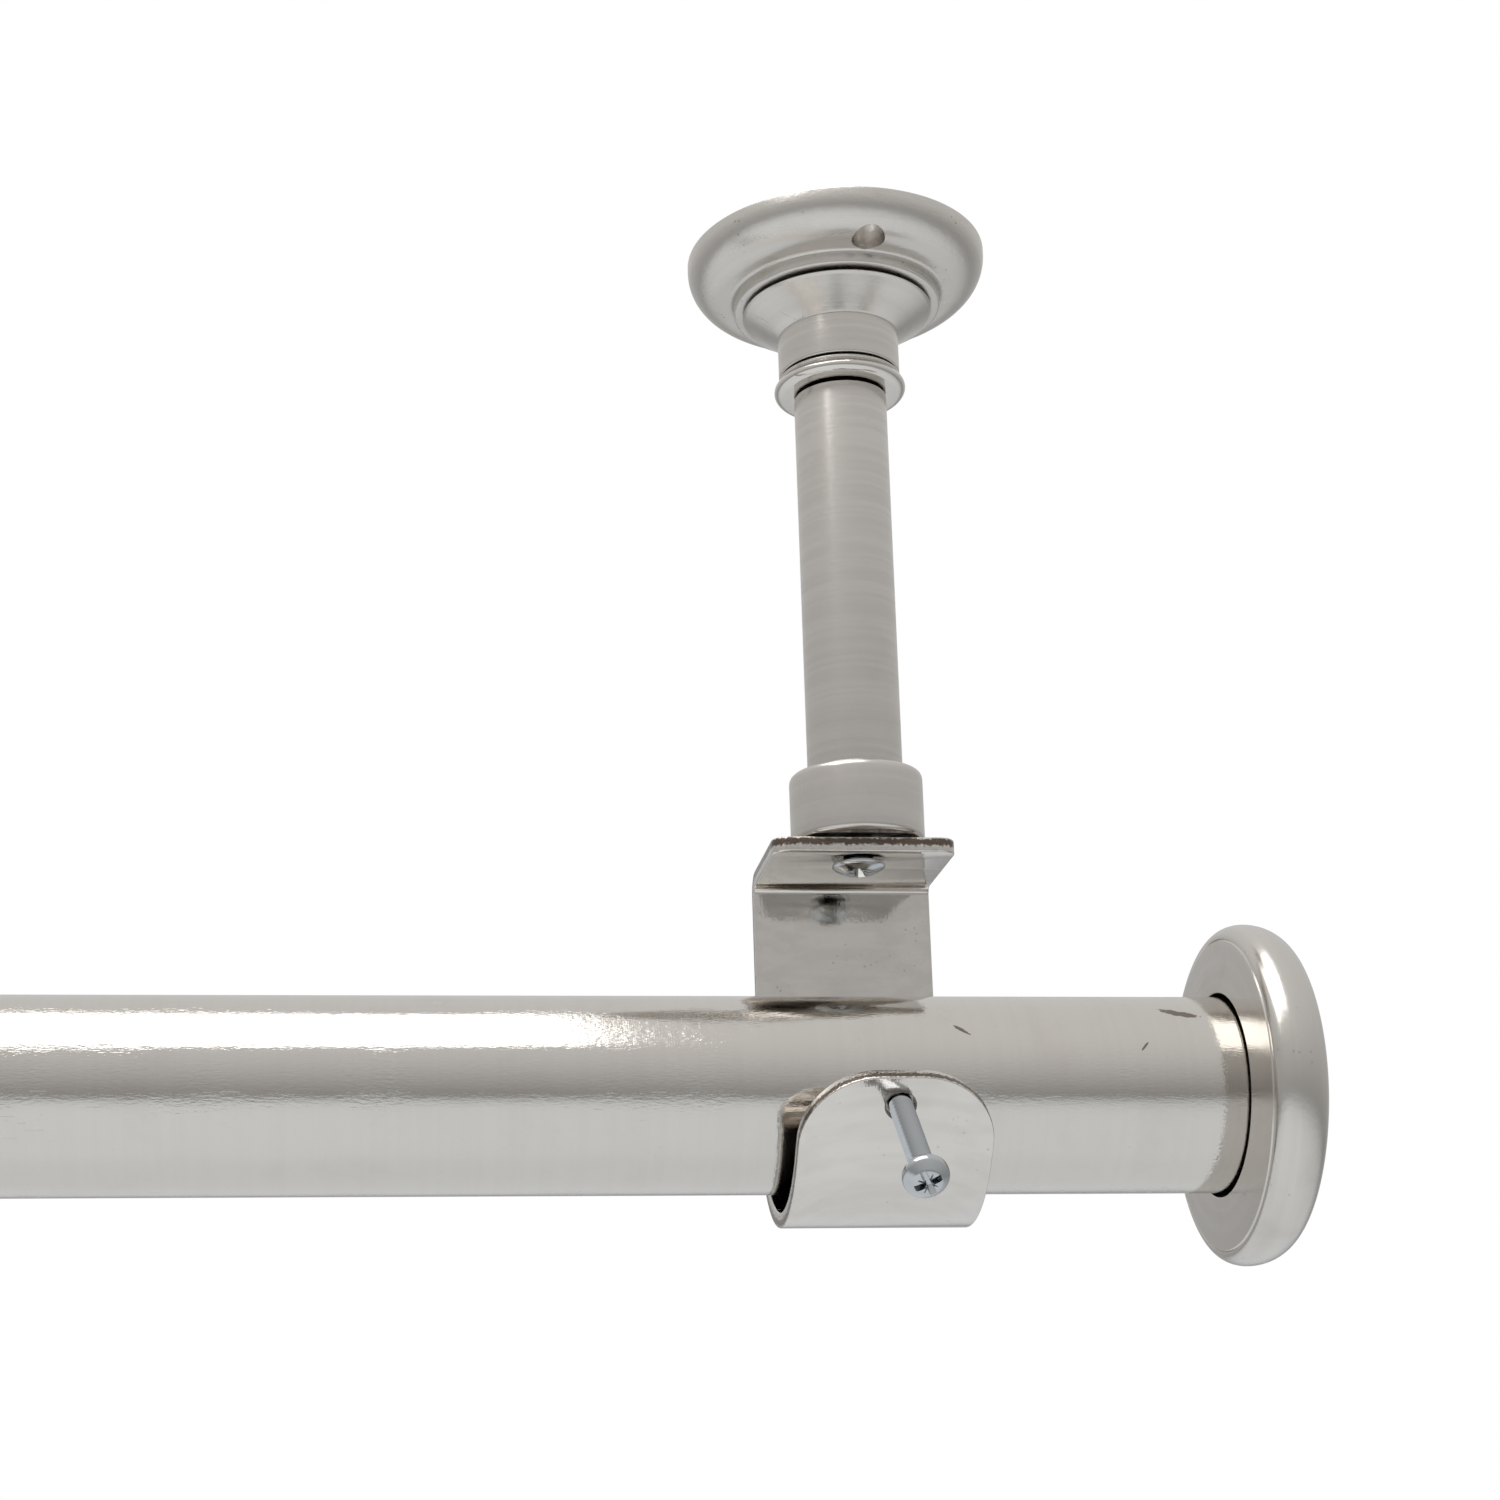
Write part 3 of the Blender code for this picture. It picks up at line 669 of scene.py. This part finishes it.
def strip_nickel(name, at):
    """Bright plated strip: rolled lines along it, stains on its face and rough sheared edges."""
    material = plated(
        name, COLOURS["polished_nickel"], at, (0, 0, 0),
        lines=0.0, peel=0.000006, roughness=0.075, stain=0.12, pits=0.4, dash=0.000014, worn=0.000001,
    )
    tree = material.node_tree
    shader = tree.nodes["Principled BSDF"]
    uv = put(tree, "UVMap", uv_map="strip").outputs[0]
    rolled = put(tree, "Mapping", {"Vector": uv, "Scale": (240.0, 5200.0, 1.0)}).outputs[0]
    lines = noise(tree, rolled, 1.0, 3.0, 0.6)
    edge = put(tree, "Attribute", attribute_name="sheared").outputs["Fac"]
    here = put(tree, "TexCoord").outputs["Object"]
    crumbs = noise(tree, here, 2600.0, 3.0, 0.7)
    height = blended(tree, edge, lines, crumbs)
    depth = {"Height": height, "Strength": 1.0}
    depth["Distance"] = rise(tree, edge, 0, 1, 0.000004, 0.00007)
    depth["Normal"] = shader.inputs["Normal"].links[0].from_socket
    tree.links.new(put(tree, "Bump", depth).outputs[0], shader.inputs["Normal"])
    through = put(tree, "Attribute", attribute_name="through").outputs["Fac"]
    ragged = maths(tree, "ADD", through, rise(tree, crumbs, 0.2, 0.8, -0.16, 0.16))
    torn = maths(tree, "MULTIPLY", rise(tree, ragged, 0.40, 0.52), rise(tree, ragged, 0.84, 0.96, 1.0, 0.0))
    before = shader.inputs["Base Color"].links[0].from_socket
    torn = maths(tree, "MULTIPLY", torn, edge)
    tree.links.new(blended(tree, torn, before, BARE_STEEL), shader.inputs["Base Color"])
    smooth = shader.inputs["Roughness"].links[0].from_socket
    rough = maths(tree, "ADD", smooth, maths(tree, "MULTIPLY", edge, 0.10))
    tree.links.new(rough, shader.inputs["Roughness"])
    return material


for side, tube in (("right", "outer_tube"), ("left", "inner_tube")):
    axis = middle(f"{side}_post_tube")
    outward = way_out(side)
    lip_angle = atan2(outward[2], outward[1])
    bright = strip_nickel(f"{side}_strip_nickel", (axis.x, axis.y, 0))
    holder = bent_strip(f"{side}_bent_strip", side, strip_runs(side, tube, lip_angle), bright)
    stand_in(holder, f"{side}_rod_holder", f"{side}_holder")

# Rod tubes. Two lengths of seam-welded steel tube, 0.8 mm thick, belt-brushed round as they
# spin and plated with satin nickel. The inner one slides out of the outer one to the left.
TUBE_WALL = 0.0008

rod = middle("outer_tube")
along_rod = Matrix.Translation((0, rod.y, rod.z)) @ Matrix.Rotation(pi / 2, 4, "Y")
rod_nickel = plated(
    "rod_nickel", COLOURS["satin_nickel"], (0, rod.y, rod.z), (0, pi / 2, 0),
    lines=0.000003, peel=0.000008, roughness=0.075, stain=0.08, pits=0.1, tone=0.985, fine=5200.0,
    dash=0.000040,
)


def nicked(material, spot, turn, reach):
    """Marks one place on the rod, where it has been knocked, with a ragged patch of bare steel."""
    tree = material.node_tree
    shader = tree.nodes["Principled BSDF"]
    here = put(tree, "TexCoord").outputs["Object"]
    given = {"Vector": here, "Location": spot, "Rotation": turn, "Scale": reach}
    near = put(tree, "Mapping", given, vector_type="TEXTURE").outputs[0]
    away = put(tree, "VectorMath", {0: near}, operation="LENGTH").outputs["Value"]
    ragged = maths(tree, "ADD", away, noise(tree, here, 1500.0, 3.0, 0.7))
    patch = rise(tree, ragged, 1.1, 1.3, 0.85, 0.0)
    before = shader.inputs["Base Color"].links[0].from_socket
    tree.links.new(blended(tree, patch, before, BARE_STEEL), shader.inputs["Base Color"])


for spot, turn, reach in (
    ((0.0385, -0.0091, 0.0088), 12, (0.0034, 0.004, 0.0006)),
    ((0.0100, -0.0110, 0.0063), 35, (0.0016, 0.004, 0.0003)),
    ((0.0330, -0.0120, 0.0040), -50, (0.0011, 0.004, 0.0002)),
):
    nicked(rod_nickel, (spot[0], spot[1], rod.z + spot[2]), (0, radians(turn), 0), reach)
for node, body in (("outer_tube", "outer_rod"), ("inner_tube", "inner_rod")):
    low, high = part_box(node)
    radius = (high[2] - low[2]) / 2
    outline = [
        (radius, low[0], 0.0003), (radius, high[0], 0.0003),
        (radius - TUBE_WALL, high[0], 0.0002), (radius - TUBE_WALL, low[0], 0.0002),
    ]
    tube = turned(f"{node}_brushed", outline, along_rod, rod_nickel, 192)
    stand_in(tube, node, body)

# End caps. Each is a zinc casting, faced and turned to a round rim, brushed in rings and plated.
# The tube's end sits in its socket, and its spigot pushes into the plug.
CAP_DEPTH = 0.0080
CAP_RIM_WIDTH = 0.0035
CAP_RIM_FROM_FACE = 0.0032
CAP_FACE_SLOPE = 0.0004
CAP_CREASE_FROM_RIM = 0.0017
CAP_END_WALL = 0.0016
CAP_CLEARANCE = 0.0005
SPIGOT_RADIUS = 0.0040
SPIGOT_LENGTH = 0.0180

cap_nickel = plated(
    "cap_nickel", COLOURS["satin_nickel"], (0, rod.y, rod.z), (0, pi / 2, 0),
    lines=0.000005, peel=0.000016, roughness=0.20, stain=0.18, pits=0.4, tone=0.95, fine=4200.0,
)
for side, tube, way in (("right", "outer_tube", 1), ("left", "inner_tube", -1)):
    low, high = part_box(f"{side}_end_cap")
    tube_low, tube_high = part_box(tube)
    bore = (tube_high[2] - tube_low[2]) / 2 + CAP_CLEARANCE
    radius = (high[2] - low[2]) / 2
    rim = radius - CAP_RIM_WIDTH
    floor = CAP_DEPTH - CAP_END_WALL
    crease = rim + CAP_CREASE_FROM_RIM
    front = (radius - crease, CAP_RIM_FROM_FACE - CAP_FACE_SLOPE - 0.0001)
    back = (CAP_RIM_WIDTH, CAP_DEPTH - CAP_RIM_FROM_FACE - 0.0002)
    outline = [
        (bore, 0, 0.0002),
        (crease - 0.0003, CAP_FACE_SLOPE, 0),
        (crease - 0.0001, CAP_FACE_SLOPE + 0.00022, 0),
        *arc((crease, CAP_RIM_FROM_FACE), front, -90, 0, 22),
        *arc((rim, CAP_RIM_FROM_FACE), back, 0, 90, 22)[1:],
        (rim * 0.55, CAP_DEPTH - 0.00005, 0.002),
        (0, CAP_DEPTH, 0),
        (0, floor - SPIGOT_LENGTH, 0),
        (SPIGOT_RADIUS, floor - SPIGOT_LENGTH, 0.0006),
        (SPIGOT_RADIUS, floor, 0.0002),
        (bore, floor, 0),
    ]
    face = high[0] - CAP_DEPTH if way > 0 else low[0] + CAP_DEPTH
    place = Matrix.Translation((face, rod.y, rod.z)) @ Matrix.Rotation(way * pi / 2, 4, "Y")
    cap = turned(f"{side}_cap_disc", outline, place, cap_nickel, 192)
    stand_in(cap, f"{side}_end_cap", f"{side}_cap")

# Cap plugs and the inner tube's guide. All are moulded in black plastic and pushed into the
# tubes' ends, out of sight.
plastic = bpy.data.materials.new("moulded_plastic")
plastic.use_nodes = True
tree = plastic.node_tree
shader = tree.nodes["Principled BSDF"]
shader.inputs["Specular IOR Level"].default_value = 0.4
here = put(tree, "TexCoord").outputs["Object"]
grain = noise(tree, here, 2400.0, 3.0)
black = COLOURS["black_plastic"]
tree.links.new(blended(tree, grain, black, tuple(1.6 * part for part in black)), shader.inputs["Base Color"])
tree.links.new(rise(tree, grain, 0.3, 0.7, 0.48, 0.62), shader.inputs["Roughness"])
etched = put(tree, "Bump", {"Height": grain, "Strength": 0.6, "Distance": 0.00001}).outputs[0]
tree.links.new(etched, shader.inputs["Normal"])
for node in ("right_cap_plug", "left_cap_plug", "inner_tube_guide"):
    for material_slot in frame["nodes"][node].material_slots:
        material_slot.material = plastic

# Studio. A pale floor well below the hanging rod, a wide soft lamp over it, and an even, neutral
# light all round that grows from the floor up to overhead. The camera sees a plain white
# backdrop in place of that light.
FLOOR_DROP = 0.30
FLOOR_MIDDLE_X = -0.3
LIGHT_FROM_BELOW = 0.10
LIGHT_FROM_ABOVE = 0.80

floor_shape = bmesh.new()
bmesh.ops.create_grid(floor_shape, x_segments=4, y_segments=4, size=4.0)
floor_low = cad_box[0][2] - FLOOR_DROP
bmesh.ops.translate(floor_shape, verts=floor_shape.verts, vec=(FLOOR_MIDDLE_X, 0, floor_low))
paint = bpy.data.materials.new("pale_floor")
paint.use_nodes = True
tree = paint.node_tree
shader = tree.nodes["Principled BSDF"]
mottle = noise(tree, put(tree, "TexCoord").outputs["Object"], 6.0)
tone = blended(tree, mottle, (0.80, 0.83, 0.86, 1), (0.84, 0.87, 0.90, 1))
tree.links.new(tone, shader.inputs["Base Color"])
spread = put(tree, "TexCoord").outputs["Object"]
middle_of_floor = (FLOOR_MIDDLE_X, 0, floor_low)
off = put(tree, "VectorMath", {0: spread, 1: middle_of_floor}, operation="DISTANCE").outputs["Value"]
tree.links.new(rise(tree, off, 0.7, 2.2, 1.0, 0.0), shader.inputs["Alpha"])
shader.inputs["Roughness"].default_value = 0.7
floor_piece = as_piece("studio_floor", floor_shape, paint)

lamp = bpy.data.lights.new("soft_lamp", "AREA")
lamp.energy = 14
lamp.size = 1.4
lamp_stand = bpy.data.objects.new("soft_lamp", lamp)
lamp_stand.location = (-0.5, -0.5, 1.3)
lamp_stand.rotation_euler = (radians(18), radians(-8), 0)
bpy.context.scene.collection.objects.link(lamp_stand)

studio = bpy.data.worlds.new("studio")
studio.use_nodes = True
bpy.context.scene.world = studio
tree = studio.node_tree
tree.nodes.clear()
way = put(tree, "SeparateXYZ", {0: put(tree, "TexCoord").outputs["Generated"]}).outputs
soft_light = rise(tree, way[2], -1.0, 1.0, LIGHT_FROM_BELOW, LIGHT_FROM_ABOVE)
around = put(tree, "Background", {"Color": (1, 1, 1, 1), "Strength": soft_light}).outputs[0]
backdrop = put(tree, "Background", {"Color": (1, 1, 1, 1), "Strength": 1.0}).outputs[0]
direct = put(tree, "LightPath").outputs["Is Camera Ray"]
both = put(tree, "MixShader", {0: direct, 1: around, 2: backdrop}).outputs[0]
put(tree, "OutputWorld", {"Surface": both})
bpy.context.scene.view_settings.view_transform = "Standard"

# Camera, in front of the right bracket, a little below the rod and to its left.
CAMERA_FROM_BRACKET = Vector((-0.0628, -0.3240, -0.0593))
CAMERA_FORWARD = Vector((0.0856, 0.9706, 0.2248)).normalized()
CAMERA_RIGHT = Vector((0.9963, -0.0840, -0.0166))

lens = bpy.data.cameras.new("camera")
lens.sensor_width = 36
lens.lens = 62.4
lens.shift_x = 0.10
lens.shift_y = 0.15
lens.clip_start = 0.01
camera = bpy.data.objects.new("camera", lens)
right = (CAMERA_RIGHT - CAMERA_FORWARD * CAMERA_RIGHT.dot(CAMERA_FORWARD)).normalized()
frame_of_view = Matrix((right, right.cross(CAMERA_FORWARD), -CAMERA_FORWARD)).transposed().to_4x4()
bracket = middle("right_post_tube")
frame_of_view.translation = Vector((bracket.x, rod.y, rod.z)) + CAMERA_FROM_BRACKET
camera.matrix_world = frame_of_view
bpy.context.scene.collection.objects.link(camera)
bpy.context.scene.camera = camera
